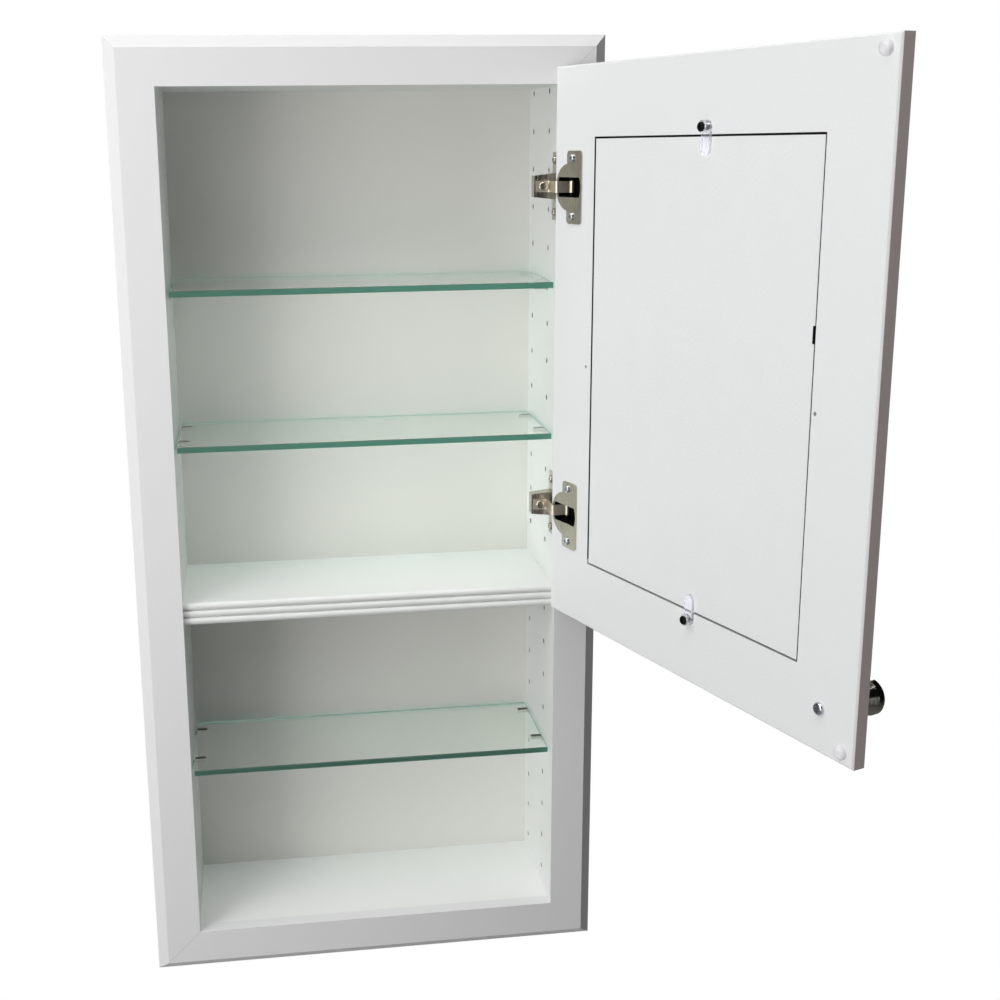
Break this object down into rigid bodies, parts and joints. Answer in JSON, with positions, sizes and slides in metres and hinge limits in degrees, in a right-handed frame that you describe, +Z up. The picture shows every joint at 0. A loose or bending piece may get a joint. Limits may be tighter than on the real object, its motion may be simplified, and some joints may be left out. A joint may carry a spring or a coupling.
{
  "type": "recessed medicine cabinet",
  "caption": "Recessed white wall cabinet with a mitred bevelled frame, hinged mirror door, glass shelves on pins and an open niche below.",
  "frame": {"origin": "middle of the carcass underside, in the wall plane", "axes": "+X to the right seen from the room, +Y into the wall, +Z up"},
  "size_m": [0.5077, 0.4587, 0.8002],
  "materials": {
    "carcass_paint": "satin white paint",
    "back_paint": "satin white paint",
    "frame_paint": "satin white paint",
    "door_paint": "satin white paint",
    "shelf_glass": "clear, green at the edge",
    "pin_zinc": "zinc plated",
    "hinge_nickel": "nickel plated",
    "screw_zinc": "bright zinc",
    "black_nylon": "moulded",
    "black_screw": "black oxide",
    "clear_plastic": "clear moulded",
    "bumper_clear": "clear soft",
    "mirror_glass": "silvered",
    "knob_nickel": "satin nickel"
  },
  "bodies": {
    "cabinet": {"left_side": "carcass_paint", "right_side": "carcass_paint", "top_panel": "carcass_paint", "bottom_panel": "carcass_paint", "fixed_shelf": "carcass_paint", "back_panel": "back_paint", "frame_left_stile": "frame_paint", "frame_right_stile": "frame_paint", "frame_top_rail": "frame_paint", "frame_bottom_rail": "frame_paint", "glass_shelf_upper": "shelf_glass", "glass_shelf_middle": "shelf_glass", "glass_shelf_lower": "shelf_glass", "shelf_pins_upper": "pin_zinc", "shelf_pins_middle": "pin_zinc", "shelf_pins_lower": "pin_zinc", "hinge_base_upper": "hinge_nickel", "hinge_base_lower": "hinge_nickel", "hinge_arm_upper": "hinge_nickel", "hinge_arm_lower": "hinge_nickel", "hinge_base_screws": "screw_zinc", "hinge_adjust_screws": "screw_zinc"},
    "door": {"door_frame": "door_paint", "mirror": "mirror_glass", "backing_panel": "door_paint", "knob": "knob_nickel", "knob_screw": "screw_zinc", "bumpers": "bumper_clear", "hinge_cup_upper": "hinge_nickel", "hinge_cup_lower": "hinge_nickel", "hinge_pin_upper": "hinge_nickel", "hinge_pin_lower": "hinge_nickel", "hinge_bushes": "black_nylon", "hinge_cup_screws": "screw_zinc", "clip_screws": "black_screw"},
    "clip_upper": {"retainer_clip_upper": "clear_plastic"},
    "clip_lower": {"retainer_clip_lower": "clear_plastic"}
  },
  "joints": [
    {"name": "door_hinge", "type": "hinge", "parent": "cabinet", "child": "door", "pos_m": [0.16583, -0.03245, 0.5318], "axis": [0, 0, 1], "range_deg": [-109.7, 0]},
    {"name": "clip_upper_turn", "type": "hinge", "parent": "door", "child": "clip_upper", "pos_m": [0.21696, -0.20196, 0.70665], "axis": [-0.9415, -0.3371, 0], "continuous": true},
    {"name": "clip_lower_turn", "type": "hinge", "parent": "door", "child": "clip_lower", "pos_m": [0.21696, -0.20196, 0.35695], "axis": [-0.9415, -0.3371, 0], "continuous": true}
  ]
}
